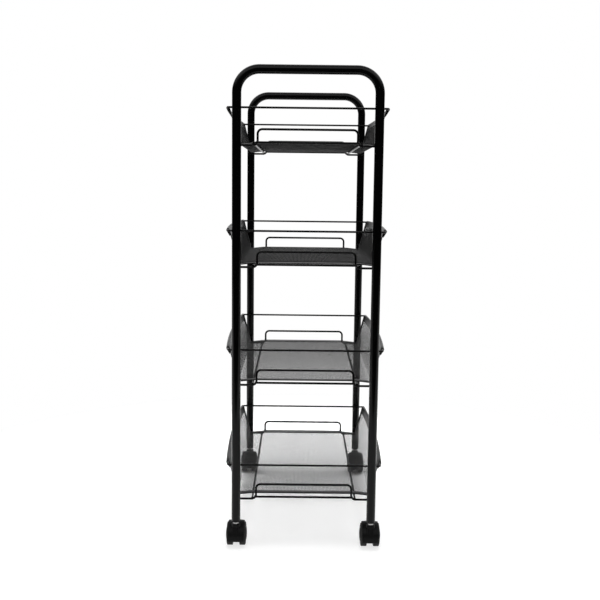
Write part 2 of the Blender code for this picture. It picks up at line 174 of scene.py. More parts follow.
hemCoat = powderCoat("hemCoat", {
    "colour": (0.0018, 0.0018, 0.0020), "roughness": 0.36, "metallic": 0.0, "specular": 0.18,
    "peelSize": 0.0009, "bumpDepth": 0.00005, "bumpStrength": 0.45,
    "cloudSize": 0.03, "cloudShare": 0.015, "glossSpread": 0.14,
    "dustSize": 0.0020, "dustFrom": 0.64, "dustFull": 0.80, "dustShare": 0.07, "dustDulling": 0.14,
    "dustColour": (0.11, 0.108, 0.102)})


# moulded plastic: spark-eroded grain, flow clouds, fine scuffs, and dust where the wheel rolls
def mouldedPlastic(name, look):
    made, tree = shaderTree(name)
    place = tree.add("ShaderNodeTexCoord", output="Object")
    grain = noise(tree, place, look["grainSize"], roughness=0.6)
    cloud = noise(tree, place, look["cloudSize"])
    stretched = tree.add("ShaderNodeMapping", {}, {"Vector": place, "Scale": look["scuffStretch"]})
    scratch = noise(tree, stretched, look["scuffSize"], detail=3.0, roughness=0.7)
    scuff = tree.add("ShaderNodeValToRGB", {"stops": ((look["scuffFrom"], 0.0), (look["scuffFull"], 1.0))},
                     {0: scratch})
    rolled = tree.add("ShaderNodeAttribute", {"attribute_name": "rolled"}, output="Fac")
    dust = rolled * (cloud * look["rolledDust"]) + scuff * look["scuffShare"]
    colour = colourMix(tree, dust + cloud * look["cloudShare"], look["colour"], look["dustColour"])
    roughness = look["roughness"] + (cloud - 0.5) * look["glossSpread"] + dust * look["dustDulling"]
    finishMaterial(tree, look, colour, roughness, grain + scratch * look["scuffDepth"])
    return made


hoodPlastic = mouldedPlastic("hoodPlastic", {
    "colour": (0.0018, 0.0018, 0.0020), "roughness": 0.42, "metallic": 0.0, "specular": 0.11,
    "grainSize": 0.00045, "bumpDepth": 0.00005, "bumpStrength": 0.5,
    "cloudSize": 0.012, "cloudShare": 0.015, "glossSpread": 0.10,
    "scuffSize": 0.004, "scuffStretch": (1.0, 1.0, 7.0), "scuffFrom": 0.62, "scuffFull": 0.78,
    "scuffShare": 0.05, "scuffDepth": 0.3, "rolledDust": 0.0, "dustDulling": 0.5,
    "dustColour": (0.13, 0.128, 0.122)})
wheelPlastic = mouldedPlastic("wheelPlastic", {
    "colour": (0.0020, 0.0020, 0.0022), "roughness": 0.46, "metallic": 0.0, "specular": 0.11,
    "grainSize": 0.0006, "bumpDepth": 0.00006, "bumpStrength": 0.5,
    "cloudSize": 0.008, "cloudShare": 0.015, "glossSpread": 0.12,
    "scuffSize": 0.003, "scuffStretch": (7.0, 1.0, 1.0), "scuffFrom": 0.60, "scuffFull": 0.78,
    "scuffShare": 0.06, "scuffDepth": 0.3, "rolledDust": 0.22, "dustDulling": 0.6,
    "dustColour": (0.15, 0.147, 0.140)})


# turned and plated steel: fine tool rings along Z and a faint yellow bloom
def platedSteel(name, look):
    made, tree = shaderTree(name)
    place = tree.add("ShaderNodeTexCoord", output="Object")
    rings = tree.add("ShaderNodeTexWave", {"bands_direction": "Z"}, {
        "Vector": place, "Scale": 1.0 / look["ringPitch"], "Distortion": 1.5, "Detail": 2.0})
    bloom = noise(tree, place, look["bloomSize"], detail=3.0, roughness=0.6)
    colour = colourMix(tree, bloom * look["bloomShare"], look["colour"], look["bloomColour"])
    roughness = look["roughness"] + (bloom - 0.5) * look["glossSpread"]
    finishMaterial(tree, look, colour, roughness, rings)
    return made


zincPlate = platedSteel("zincPlate", {
    "colour": (0.42, 0.42, 0.43), "roughness": 0.26, "metallic": 1.0, "specular": 0.5,
    "ringPitch": 0.004, "bumpDepth": 0.00002, "bumpStrength": 0.4,
    "bloomSize": 0.003, "bloomShare": 0.5, "bloomColour": (0.38, 0.365, 0.32), "glossSpread": 0.14})
blackScrew = platedSteel("blackScrew", {
    "colour": (0.030, 0.030, 0.032), "roughness": 0.34, "metallic": 1.0, "specular": 0.5,
    "ringPitch": 0.003, "bumpDepth": 0.00002, "bumpStrength": 0.4,
    "bloomSize": 0.002, "bloomShare": 0.4, "bloomColour": (0.055, 0.050, 0.045), "glossSpread": 0.16})
print("materials made:", len(bpy.data.materials))


# Pieces: every finished mesh sits at the origin and rides on its body
shaping = {"sharpAngle": 38.0,     # degrees above which an edge stays sharp in the shading
           "roundAngle": 180.0,    # the same for wires, which are smooth all round
           "easeSteps": 2,         # rounds of an eased edge
           "easeAngle": 60,        # degrees above which an edge is eased
           "cornerShare": 0.45,    # the most of a side that one eased corner takes
           "onAxis": 1e-7}         # a smaller radius is a point on the axis


def addObject(name, mesh):
    made = bpy.data.objects.new(name, mesh)
    bpy.context.scene.collection.objects.link(made)
    return made


def plainMesh(thing):
    bpy.context.view_layer.update()
    mesh = bpy.data.meshes.new_from_object(thing.evaluated_get(bpy.context.evaluated_depsgraph_get()))
    thing.modifiers.clear()
    thing.data = mesh
    return mesh


def finishPiece(piece, material, body, nodes, sharpAngle=shaping["sharpAngle"]):
    piece.data.materials.clear()
    piece.data.materials.append(material)
    piece.data.shade_smooth()
    piece.data.set_sharp_from_angle(angle=math.radians(sharpAngle))
    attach(piece, body)
    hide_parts(*nodes)


def meshOf(name, points, edges=(), faces=()):
    mesh = bpy.data.meshes.new(name)
    mesh.from_pydata([tuple(point) for point in points], list(edges), list(faces))
    return mesh


def bmeshObject(name, shape):
    bmesh.ops.recalc_face_normals(shape, faces=shape.faces)
    mesh = bpy.data.meshes.new(name)
    shape.to_mesh(mesh)
    shape.free()
    return addObject(name, mesh)


def joined(name, things):
    # several made objects as one
    shape = bmesh.new()
    for thing in things:
        shape.from_mesh(thing.data)
        bpy.data.objects.remove(thing)
    mesh = bpy.data.meshes.new(name)
    shape.to_mesh(mesh)
    shape.free()
    return addObject(name, mesh)


def eased(line, radius, steps=3):
    # a polyline with its inner corners rounded off
    made = [Vector(line[0])]
    for before, corner, after in zip(line, line[1:], line[2:]):
        before, corner, after = Vector(before), Vector(corner), Vector(after)
        reach = min(radius, min((before - corner).length, (after - corner).length) * shaping["cornerShare"])
        start = corner + (before - corner).normalized() * reach
        end = corner + (after - corner).normalized() * reach
        for i in range(steps + 1):
            t = i / steps
            made.append(start * (1 - t) ** 2 + corner * (2 * t * (1 - t)) + end * t ** 2)
    made.append(Vector(line[-1]))
    return made


def turned(name, profile, sides, place):
    # a solid turned about Z from (radius, height) points, then put in place; a ring's profile is closed
    shape = bmesh.new()
    rings = []
    for radius, height in profile:
        if radius < shaping["onAxis"]:
            rings.append([shape.verts.new((0, 0, height))])
        else:
            angles = [math.tau * i / sides for i in range(sides)]
            rings.append([shape.verts.new((radius * math.cos(a), radius * math.sin(a), height)) for a in angles])
    pairs = list(zip(rings, rings[1:]))
    if len(rings[0]) > 1:
        pairs.append((rings[-1], rings[0]))
    for low, high in pairs:
        for i in range(sides):
            j = (i + 1) % sides
            loop = [low[i % len(low)], low[j % len(low)], high[j % len(high)], high[i % len(high)]]
            shape.faces.new(list(dict.fromkeys(loop)))
    bmesh.ops.transform(shape, verts=shape.verts, matrix=place)
    return bmeshObject(name, shape)


def easedEdges(thing, width, segments=shaping["easeSteps"], angle=shaping["easeAngle"]):
    # rounds the edges that turn by more than the angle
    ease = thing.modifiers.new("ease", "BEVEL")
    ease.width = width
    ease.segments = segments
    ease.limit_method = "ANGLE"
    ease.angle_limit = math.radians(angle)
    plainMesh(thing)
    return thing


def nodeGroup(name, inputs):
    group = bpy.data.node_groups.new(name, "GeometryNodeTree")
    group.interface.new_socket("Geometry", in_out="OUTPUT", socket_type="NodeSocketGeometry")
    group.interface.new_socket("Geometry", in_out="INPUT", socket_type="NodeSocketGeometry")
    for label, kind in inputs:
        group.interface.new_socket(label, in_out="INPUT", socket_type="NodeSocket" + kind)
    tree = Tree(group)
    return tree, tree.add("NodeGroupInput")


def endGroup(tree, shape, material):
    real = tree.add("GeometryNodeRealizeInstances", {}, {0: shape})
    coated = tree.add("GeometryNodeSetMaterial", {}, {"Geometry": real, "Material": material})
    tree.add("NodeGroupOutput", {}, {0: coated})


def grown(name, guide, tree, values):
    # runs a node group over a guide mesh and keeps the plain mesh that comes of it
    thing = addObject(name, guide)
    step = thing.modifiers.new("grow", "NODES")
    step.node_group = tree.nodeTree
    for item in tree.nodeTree.interface.items_tree:
        if item.in_out == "INPUT" and item.name in values:
            step[item.identifier] = values[item.name]
    plainMesh(thing)
    return thing


def roundBar(tree, line, radius, sides, caps=True, scale=1.0):
    # a round profile swept along a curve
    ring = tree.add("GeometryNodeCurvePrimitiveCircle", {}, {"Resolution": sides, "Radius": radius})
    return tree.add("GeometryNodeCurveToMesh", {}, {"Curve": line, "Profile Curve": ring, "Scale": scale,
                                                    "Fill Caps": caps})


# a bar of round wire or tube along each line of the guide, with its corners bent to a radius
barTree, barInput = nodeGroup("barAlongLine", (
    ("Radius", "Float"), ("Bend Radius", "Float"), ("Bend Steps", "Int"), ("Sides", "Int"), ("Capped", "Bool"),
    ("Material", "Material")))
barLine = barTree.add("GeometryNodeMeshToCurve", {}, {0: barInput.other("Geometry")})
bentLine = barTree.add("GeometryNodeFilletCurve", {"mode": "POLY"}, {
    "Curve": barLine, "Count": barInput.other("Bend Steps"), "Radius": barInput.other("Bend Radius"),
    "Limit Radius": True})
endGroup(barTree, roundBar(barTree, bentLine, barInput.other("Radius"), barInput.other("Sides"),
                           barInput.other("Capped")), barInput.other("Material"))

# a small rounded bead at each point of the guide
beadTree, beadInput = nodeGroup("beadAtPoints", (("Size", "Vector"), ("Material", "Material")))
beadShape = beadTree.add("GeometryNodeMeshUVSphere", {}, {"Segments": 12, "Rings": 8, "Radius": 1.0})
beads = beadTree.add("GeometryNodeInstanceOnPoints", {}, {
    "Points": beadInput.other("Geometry"), "Instance": beadShape, "Scale": beadInput.other("Size")})
endGroup(beadTree, beads, beadInput.other("Material"))

# a copy of a small object at each point of the guide, its Z turned away from the middle of the cart
outwardTree, outwardInput = nodeGroup("copyFacingOutward", (("Shape", "Object"), ("Material", "Material")))
pointPlace = outwardTree.add("GeometryNodeInputPosition")
pointSide = outwardTree.add("ShaderNodeSeparateXYZ", {}, {0: pointPlace}, output="Y")
outward = outwardTree.add("ShaderNodeCombineXYZ", {}, {"Y": outwardTree.maths("SIGN", pointSide)})
facing = outwardTree.add("FunctionNodeAlignRotationToVector", {"axis": "Z"}, {"Vector": outward})
copied = outwardTree.add("GeometryNodeObjectInfo", {}, {"Object": outwardInput.other("Shape")}, output="Geometry")
copies = outwardTree.add("GeometryNodeInstanceOnPoints", {}, {
    "Points": outwardInput.other("Geometry"), "Instance": copied, "Rotation": facing})
endGroup(outwardTree, copies, outwardInput.other("Material"))


# mapShare keeps the outermost wires on the panel, rise is how far a wire lies off its middle in wire radii,
# and a grid line with a shorter sideways run than level runs straight along
weaving = {"sides": 4, "mapShare": 0.9990, "rise": 0.8, "level": 1e-6}


def wovenWires(tree, panel, count, steps, lift, radius, lengthwise, wallReach, wallGauge):
    # one direction of a weave: lines of a unit grid laid on the panel through its map, drawn finer up the walls
    counts = (count, steps) if lengthwise else (steps, count)
    grid = tree.add("GeometryNodeMeshGrid", {}, {
        "Size X": 1.0, "Size Y": 1.0, "Vertices X": counts[0], "Vertices Y": counts[1]})
    start = tree.add("GeometryNodeInputMeshEdgeVertices", output="Position 1")
    run = tree.add("ShaderNodeVectorMath", {"operation": "SUBTRACT"}, {0: start, 1: start.other("Position 2")})
    sideways = tree.add("ShaderNodeSeparateXYZ", {}, {0: run}, output="X" if lengthwise else "Y")
    lines = tree.add("GeometryNodeDeleteGeometry", {"domain": "EDGE", "mode": "EDGE_FACE"}, {
        "Geometry": grid, "Selection": abs(sideways) > weaving["level"]})
    place = tree.add("GeometryNodeInputPosition")
    spot = tree.add("ShaderNodeVectorMath", {"operation": "MULTIPLY_ADD"}, {
        0: place, 1: (weaving["mapShare"], weaving["mapShare"], 0.0), 2: (0.5, 0.5, 0.0)})
    panelMap = tree.add("GeometryNodeInputNamedAttribute", {"data_type": "FLOAT_VECTOR"}, {"Name": "weave"})
    sampled = []
    for field in (tree.add("GeometryNodeInputPosition"), tree.add("GeometryNodeInputNormal")):
        sampled.append(tree.add("GeometryNodeSampleUVSurface", {"data_type": "FLOAT_VECTOR"}, {
            "Mesh": panel, "Value": field, "UV Map": panelMap, "Sample UV": spot}, output="Value"))
    lifted = tree.add("ShaderNodeVectorMath", {"operation": "SCALE"}, {0: sampled[1], "Scale": lift})
    raised = tree.add("ShaderNodeVectorMath", {"operation": "ADD"}, {0: sampled[0], 1: lifted})
    laid = tree.add("GeometryNodeSetPosition", {}, {"Geometry": lines, "Position": raised})
    across = tree.add("ShaderNodeSeparateXYZ", {}, {0: tree.add("GeometryNodeInputPosition")}, output="X")
    gauge = 1.0 - (abs(across) > wallReach) * (1.0 - wallGauge)
    curves = tree.add("GeometryNodeMeshToCurve", {}, {0: laid})
    return roundBar(tree, curves, radius, weaving["sides"], scale=gauge)


weaveTree, weaveInput = nodeGroup("wovenPanel", (
    ("Wires Along", "Int"), ("Wires Across", "Int"), ("Steps Along", "Int"), ("Steps Across", "Int"),
    ("Wire Radius", "Float"), ("Wall Reach", "Float"), ("Wall Gauge", "Float"), ("Material", "Material")))
weavePanel = weaveInput.other("Geometry")
wireRadius = weaveInput.other("Wire Radius")
wallReach, wallGauge = weaveInput.other("Wall Reach"), weaveInput.other("Wall Gauge")
alongWires = wovenWires(weaveTree, weavePanel, weaveInput.other("Wires Along"), weaveInput.other("Steps Along"),
                        wireRadius * weaving["rise"], wireRadius, True, wallReach, wallGauge)
acrossWires = wovenWires(weaveTree, weavePanel, weaveInput.other("Wires Across"), weaveInput.other("Steps Across"),
                         wireRadius * -weaving["rise"], wireRadius, False, wallReach, wallGauge)
weave = weaveTree.add("GeometryNodeJoinGeometry", {}, {0: alongWires})
weaveTree.nodeTree.links.new(acrossWires.socket, weave.socket.node.inputs[0])
endGroup(weaveTree, weave, weaveInput.other("Material"))
print("node groups made")

# Hoops
tube = {"radius": 0.008, "wall": 0.0012, "bendRadius": 0.039, "bendSteps": 28, "sides": 48, "footEase": 0.00025}
hoopLow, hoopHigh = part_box("hoop_front")
legX = hoopHigh.x - tube["radius"]
legY = -(hoopLow.y + hoopHigh.y) / 2
footZ = hoopLow.z
topZ = hoopHigh.z - tube["radius"]

for hoopName, hoopEnd in (("front", -1), ("rear", 1)):
    hoopY = hoopEnd * legY
    guide = meshOf("hoopLine", [(-legX, hoopY, footZ), (-legX, hoopY, topZ), (legX, hoopY, topZ),
                                (legX, hoopY, footZ)], [(0, 1), (1, 2), (2, 3)])
    hoop = grown("hoop_" + hoopName + "_tube", guide, barTree, {
        "Radius": tube["radius"], "Bend Radius": tube["bendRadius"], "Bend Steps": tube["bendSteps"],
        "Sides": tube["sides"], "Capped": False, "Material": tubeCoat})
    wall = hoop.modifiers.new("wall", "SOLIDIFY")
    wall.thickness = tube["wall"]
    wall.offset = -1.0
    easedEdges(hoop, tube["footEase"])
    finishPiece(hoop, tubeCoat, mainBody, ["hoop_" + hoopName])
print("hoops bent")

# Basket wires: guard loops, cross wires, runners, rim. They lie where wires of the real radius touch,
# and are drawn a little thicker, as heavy as they look in the photograph
wires = {"radius": 0.0018, "drawnRadius": 0.0020, "rimDrawnRadius": 0.0018, "sides": 16, "bendSteps": 8,
         "tabDrop": 0.0066, "footDrop": 0.0047, "guardInset": 0.0117, "guardHalfWidth": 0.0865,
         "guardRise": 0.0225, "guardBend": 0.008, "guardReach": 0.127, "crossHalfLength": 0.089, "sink": 0.0008,
         "runnerX": 0.093, "runnerInset": 0.0098}
rim = {"rise": 0.059, "inset": 0.0099, "halfWidth": 0.1378, "corner": 0.004, "bow": 0.007, "lift": 0.0015,
       "sidePoints": 17}
# beads of weld at each corner, as (outward, towards the end, upward) from the wires that they join
weld = {"size": (0.0027, 0.0023, 0.0023), "onLoop": (0.0008, 0.0014, 0.0004), "onRunner": (0.0, 0.0, 0.0014),
        "onTab": ((-0.0035, 0.0012, 0.0006), (0.0030, 0.0012, 0.0006))}


def alongSide(y):
    return 1 - (y / (legY - rim["inset"])) ** 2


def rimCentre(tier, y):
    # the rim wire's place on the right side at y, as (x, z)
    bow = alongSide(y)
    return Vector((rim["halfWidth"] + rim["bow"] * bow, tier + rim["rise"] + rim["lift"] * bow))


def tierOf(number):
    # height of a basket's lower cross wires
    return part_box(f"basket_{number}_floor_frame")[0].z + wires["tabDrop"]


def chained(lines):
    # points and edges of several open lines
    points, edges = [], []
    for line in lines:
        edges += [(len(points) + i, len(points) + i + 1) for i in range(len(line) - 1)]
        points += line
    return points, edges


def floorFrameLines(tier):
    # a guard wire and a cross wire at each end, then the two runners
    lines = []
    low, high = tier - wires["footDrop"], tier + wires["guardRise"]
    half, reach = wires["guardHalfWidth"], wires["guardReach"]
    for end in (-1, 1):
        y = end * (legY - wires["guardInset"])
        lines.append([(-reach, y, low), (-half, y, low), (-half, y, high), (half, y, high), (half, y, low),
                      (reach, y, low)])
        crossY = y + end * (2 * wires["radius"] - wires["sink"])
        lines.append([(-wires["crossHalfLength"], crossY, tier), (wires["crossHalfLength"], crossY, tier)])
    runnerZ = low + 2 * wires["radius"] - wires["sink"]
    runnerY = legY - wires["runnerInset"]
    for side in (-1, 1):
        lines.append([(side * wires["runnerX"], -runnerY, runnerZ), (side * wires["runnerX"], runnerY, runnerZ)])
    return lines


def weldPoints(tier):
    low = tier - wires["footDrop"]
    spots = [(wires["guardHalfWidth"], tier, weld["onLoop"]), (wires["runnerX"], low, weld["onRunner"])]
    spots += [(legX, low, offset) for offset in weld["onTab"]]
    guardY = legY - wires["guardInset"]
    return [(side * (x + outward), end * (guardY + endward), z + upward)
            for side, end in corners.values() for x, z, (outward, endward, upward) in spots]


# Screw tabs and screws
tab = {"width": 0.012, "thickness": 0.0022, "rise": 0.0105, "gap": 0.0003, "cornerRadius": 0.0022,
       "holeRadius": 0.0024, "holeRise": 0.0056, "around": 40, "ease": 0.0003}
screw = {"headRadius": 0.0036, "headHeight": 0.0022, "shankRadius": 0.002, "length": 0.0085,
         "flatShare": 0.62, "domeShare": 0.55, "tipTaper": 0.0008, "ease": 0.0007,
         "crossWidth": 0.0009, "crossReach": 0.0020, "crossDepth": 0.0013, "sides": 32}


def tabMesh(tier, side, end):
    # a flat plate with round corners and a hole, standing against the leg
    centre = Vector((side * legX, 0, tier + (tab["rise"] - wires["tabDrop"]) / 2))
    hole = Vector((side * legX, 0, tier + tab["holeRise"]))
    halfWidth, halfHeight = tab["width"] / 2, (tab["rise"] + wires["tabDrop"]) / 2
    inner = end * (legY - tube["radius"] - tab["gap"])
    outer = inner - end * tab["thickness"]
    shape = bmesh.new()
    loops = []
    for y in (inner, outer):
        rimLoop, holeLoop = [], []
        for i in range(tab["around"]):
            angle = math.tau * i / tab["around"]
            ray = Vector((math.cos(angle), 0, math.sin(angle)))
            inX, inZ = halfWidth - tab["cornerRadius"], halfHeight - tab["cornerRadius"]
            edge = centre + Vector((max(-inX, min(inX, ray.x * halfHeight * 2)), 0,
                                    max(-inZ, min(inZ, ray.z * halfHeight * 2)))) + ray * tab["cornerRadius"]
            rimLoop.append(shape.verts.new((edge.x, y, edge.z)))
            rounded = hole + ray * tab["holeRadius"]
            holeLoop.append(shape.verts.new((rounded.x, y, rounded.z)))
        loops.append((rimLoop, holeLoop))
    (rimA, holeA), (rimB, holeB) = loops
    for first, second in ((rimA, holeA), (rimB, holeB), (rimA, rimB), (holeA, holeB)):
        for i in range(tab["around"]):
            j = (i + 1) % tab["around"]
            shape.faces.new((first[i], first[j], second[j], second[i]))
    return easedEdges(bmeshObject("tab", shape), tab["ease"])


def screwShape():
    headRadius, shankRadius, seat = screw["headRadius"], screw["shankRadius"], -screw["headHeight"]
    tip, taper = seat - screw["length"], screw["tipTaper"]
    profile = eased([(0, 0), (headRadius * screw["flatShare"], 0), (headRadius, seat * screw["domeShare"]),
                     (headRadius, seat), (shankRadius, seat), (shankRadius, tip + taper),
                     (shankRadius - taper, tip), (0, tip)], screw["ease"])
    made = turned("screwShape", profile, screw["sides"], Matrix.Identity(4))
    for turn in (0, math.pi / 2):
        slot = bmesh.new()
        bmesh.ops.create_cube(slot, size=1.0)
        size = Matrix.Diagonal((screw["crossReach"] * 2, screw["crossWidth"], screw["crossDepth"] * 2, 1.0))
        bmesh.ops.transform(slot, verts=slot.verts, matrix=Matrix.Rotation(turn, 4, "Z") @ size)
        cutter = bmeshObject("slot", slot)
        cut = made.modifiers.new("cut", "BOOLEAN")
        cut.operation = "DIFFERENCE"
        cut.solver = "EXACT"
        cut.object = cutter
        plainMesh(made)
        bpy.data.objects.remove(cutter)
    made.data.transform(Matrix.Rotation(math.pi, 4, "X"))  # the head faces inward, the shank outward
    return made


# Mesh trays: woven floor and walls, flat hems at both ends, rolled hems over the rim
tray = {"foldX": 0.120, "floorRise": 0.0013, "foldDrop": 0.003, "frontInset": 0.0258, "rearInset": 0.0141,
        "rollRadius": 0.0026, "sheet": 0.0008, "hemThickness": 0.0016, "hemWidth": 0.013, "hemDepth": 0.011,
        "clearance": 0.0003, "pitch": 0.0026, "meshWire": 0.0002, "wallGauge": 0.75, "overlap": 0.002,
        "hemTuck": 0.001, "hemEase": 0.00035, "stations": 17, "hemStations": 3, "rollSteps": 12,
        "acrossSteps": 44, "alongSteps": 9}


def wallAt(tier, y):
    # the right wall at y: its foot, its upward and outward directions, and where it meets the roll
    foot = Vector((tray["foldX"], tier + tray["floorRise"] - tray["foldDrop"]))
    centre = rimCentre(tier, y)
    reach = centre - foot
    lean = math.atan2(reach.y, reach.x) + math.asin(tray["rollRadius"] / reach.length)
    up = Vector((math.cos(lean), math.sin(lean)))
    out = Vector((up.y, -up.x))
    return foot, up, out, centre, centre - out * tray["rollRadius"]


def panelSection(tier, y, hemCover):
    # middle line of the sheet from the left wall's top to the right one's, leaving hemCover for the rolled hem
    foot, up, out, centre, touch = wallAt(tier, y)
    top = touch - up * hemCover
    runner = Vector((wires["runnerX"], tier + tray["floorRise"]))
    right = [Vector((0.0, runner.y)), runner, foot, foot + (top - foot) * 0.5, top]
    return [Vector((-p.x, p.y)) for p in reversed(right[1:])] + right


def rolledSection(tier, y, side):
    # the strip that is folded over the rim wire: up inside, round the wire, down outside
    foot, up, out, centre, touch = wallAt(tier, y)
    turn = [math.pi * i / tray["rollSteps"] for i in range(tray["rollSteps"] + 1)]
    roll = [centre + tray["rollRadius"] * (-out * math.cos(a) + up * math.sin(a)) for a in turn]
    last = touch - up * tray["hemDepth"] + out * (tray["hemThickness"] + tray["clearance"])
    return [Vector((side * p.x, p.y)) for p in [touch - up * tray["hemDepth"], *roll, last]]


def sheetBetween(name, sections, ys):
    # a one-sided sheet through lines of (x, z) points at the given places along the cart
    points = [(p.x, y, p.y) for line, y in zip(sections, ys) for p in line]
    width = len(sections[0])
    faces = [(r * width + i, r * width + i + 1, (r + 1) * width + i + 1, (r + 1) * width + i)
             for r in range(len(ys) - 1) for i in range(width - 1)]
    return meshOf(name, points, (), faces)


def thickened(thing, thickness, ease):
    wall = thing.modifiers.new("wall", "SOLIDIFY")
    wall.thickness = thickness
    wall.offset = 0.0
    wall.use_even_offset = True
    easedEdges(thing, ease)
    shape = bmesh.new()
    shape.from_mesh(thing.data)
    bmesh.ops.recalc_face_normals(shape, faces=shape.faces)
    shape.to_mesh(thing.data)
    shape.free()
    return thing


def spread(first, last, count):
    return [first + (last - first) * i / (count - 1) for i in range(count)]


def trayPieces(number, tier):
    name = f"basket_{number}"
    front, rear = tray["frontInset"] - legY, legY - tray["rearInset"]
    hems = []
    for low, high in ((front, front + tray["hemWidth"]), (rear - tray["hemWidth"], rear)):
        ys = spread(low, high, tray["hemStations"])
        sections = [panelSection(tier, y, tray["hemTuck"]) for y in ys]
        strip = addObject("endHem", sheetBetween("endHem", sections, ys))
        hems.append(thickened(strip, tray["hemThickness"], tray["hemEase"]))
    ys = spread(front, rear, tray["stations"])
    for side in (-1, 1):
        sections = [rolledSection(tier, y, side) for y in ys]
        strip = addObject("rolledHem", sheetBetween("rolledHem", sections, ys))
        hems.append(thickened(strip, tray["sheet"], tray["hemEase"] / 2))
    finishPiece(joined(name + "_hems", hems), hemCoat, mainBody, [name + "_mesh_tray"])

    low, high = front + tray["hemWidth"] - tray["overlap"], rear - tray["hemWidth"] + tray["overlap"]
    ys = spread(low, high, tray["stations"])
    sections = [panelSection(tier, y, tray["hemDepth"] - tray["overlap"]) for y in ys]
    panel = sheetBetween("panel", sections, ys)
    middle = sections[len(sections) // 2]
    lengths = [0.0]
    for before, after in zip(middle, middle[1:]):
        lengths.append(lengths[-1] + (after - before).length)
    weaveMap = panel.attributes.new("weave", "FLOAT_VECTOR", "CORNER")
    for loop in panel.loops:
        row, column = divmod(loop.vertex_index, len(middle))
        weaveMap.data[loop.index].vector = (lengths[column] / lengths[-1], (ys[row] - low) / (high - low), 0.0)
    woven = grown(name + "_weave", panel, weaveTree, {
        "Wires Along": round(lengths[-1] / tray["pitch"]) + 1,
        "Wires Across": round((high - low) / tray["pitch"]) + 1,
        "Steps Along": tray["alongSteps"], "Steps Across": tray["acrossSteps"], "Wire Radius": tray["meshWire"],
        "Wall Reach": tray["foldX"], "Wall Gauge": tray["wallGauge"], "Material": meshCoat})
    finishPiece(woven, meshCoat, mainBody, [name + "_mesh_tray"], shaping["roundAngle"])


for number in basketNumbers:
    tier = tierOf(number)
    name = f"basket_{number}"
    trayPieces(number, tier)

    guide = meshOf("frameLines", *chained(floorFrameLines(tier)))
    bars = grown("bars", guide, barTree, {
        "Radius": wires["drawnRadius"], "Bend Radius": wires["guardBend"], "Bend Steps": wires["bendSteps"],
        "Sides": wires["sides"], "Capped": True, "Material": wireCoat})
    welds = grown("welds", meshOf("weldPoints", weldPoints(tier)), beadTree, {
        "Size": weld["size"], "Material": wireCoat})
    tabs = [tabMesh(tier, side, end) for side, end in corners.values()]
    finishPiece(joined(name + "_floor_wires", [bars, welds, *tabs]), wireCoat, mainBody,
                [name + "_floor_frame"])

    endY = legY - rim["inset"]
    sideYs = spread(-endY, endY, rim["sidePoints"])
    right = [(rimCentre(tier, y).x, y, rimCentre(tier, y).y) for y in sideYs]
    loop = right + [(-x, y, z) for x, y, z in reversed(right)]
    guide = meshOf("rimLine", loop, [(i, (i + 1) % len(loop)) for i in range(len(loop))])
    rimWire = grown(name + "_rim", guide, barTree, {
        "Radius": wires["rimDrawnRadius"], "Bend Radius": rim["corner"], "Bend Steps": wires["bendSteps"],
        "Sides": wires["sides"], "Capped": False, "Material": wireCoat})
    finishPiece(rimWire, wireCoat, mainBody, [name + "_rim_wire"])
print("baskets woven and welded")

screwSource = screwShape()
screwPlaces = [(side * legX, end * (legY - tube["radius"] - 2 * tab["gap"] - tab["thickness"] - screw["headHeight"]),
                tierOf(number) + tab["holeRise"]) for number in basketNumbers for side, end in corners.values()]
screws = grown("basket_screws", meshOf("screwPlaces", screwPlaces), outwardTree, {
    "Shape": screwSource, "Material": blackScrew})
bpy.data.objects.remove(screwSource)
finishPiece(screws, blackScrew, mainBody,
            [f"basket_{number}_screw_{corner}" for number in basketNumbers for corner in corners])
print("screws driven:", len(screwPlaces))

# Casters, each built about its own stem with +Y trailing, then put in its corner
caster = {"wheelRadius": 0.021, "trail": 0.0155, "hoodInner": 0.0224, "hoodOuter": 0.0243, "hoodHalfWidth": 0.0146,
          "hoodFrom": 12.0, "hoodTo": 200.0, "hoodSteps": 48, "crown": 0.0007, "acrossPoints": 13,
          "webHalfWidth": 0.0056, "webRadius": 0.016, "webTop": (20, 160), "webFoot": (190, 350), "webSteps": 28,
          "bossRadius": 0.0078, "bossFoot": 0.0405, "bossTop": 0.0456, "bossSink": 0.0003, "bossEase": 0.0008,
          "standFoot": 0.024, "standRear": 0.006, "ease": 0.0005, "easeSteps": 3, "easeAngle": 40}
stem = {"radius": 0.004, "top": 0.080, "collarRadius": 0.0052, "collarFoot": 0.0459, "collarTop": 0.0497,
        "spigotRadius": 0.0035, "spigotFoot": 0.027, "ease": 0.0004, "sides": 48}
socket = {"flangeRadius": 0.0079, "foot": 0.0500, "top": 0.0820, "radius": 0.0062, "bore": 0.0043, "ease": 0.0003}
wheel = {"inner": 0.006, "treadOuter": 0.0164, "hubOuter": 0.019, "hubRadius": 0.0115, "ringOuter": 0.0176,
         "ringDepth": 0.0007, "ringSlope": 0.0012, "faceRise": 0.0009, "hubRise": 0.0012, "capDrop": 0.0009,
         "bore": 0.0026, "boreEnd": 0.0154, "shoulder": 0.0016, "shoulderSteps": 4, "capFlat": 0.5,
         "dustReach": 0.0012, "sides": 80}


def around(radius, start, end, steps):
    # points (y, z) on an arc about the axle, 0 degrees on the trailing side
    angles = [math.radians(start + (end - start) * i / steps) for i in range(steps + 1)]
    return [(caster["trail"] + radius * math.cos(a), caster["wheelRadius"] + radius * math.sin(a)) for a in angles]


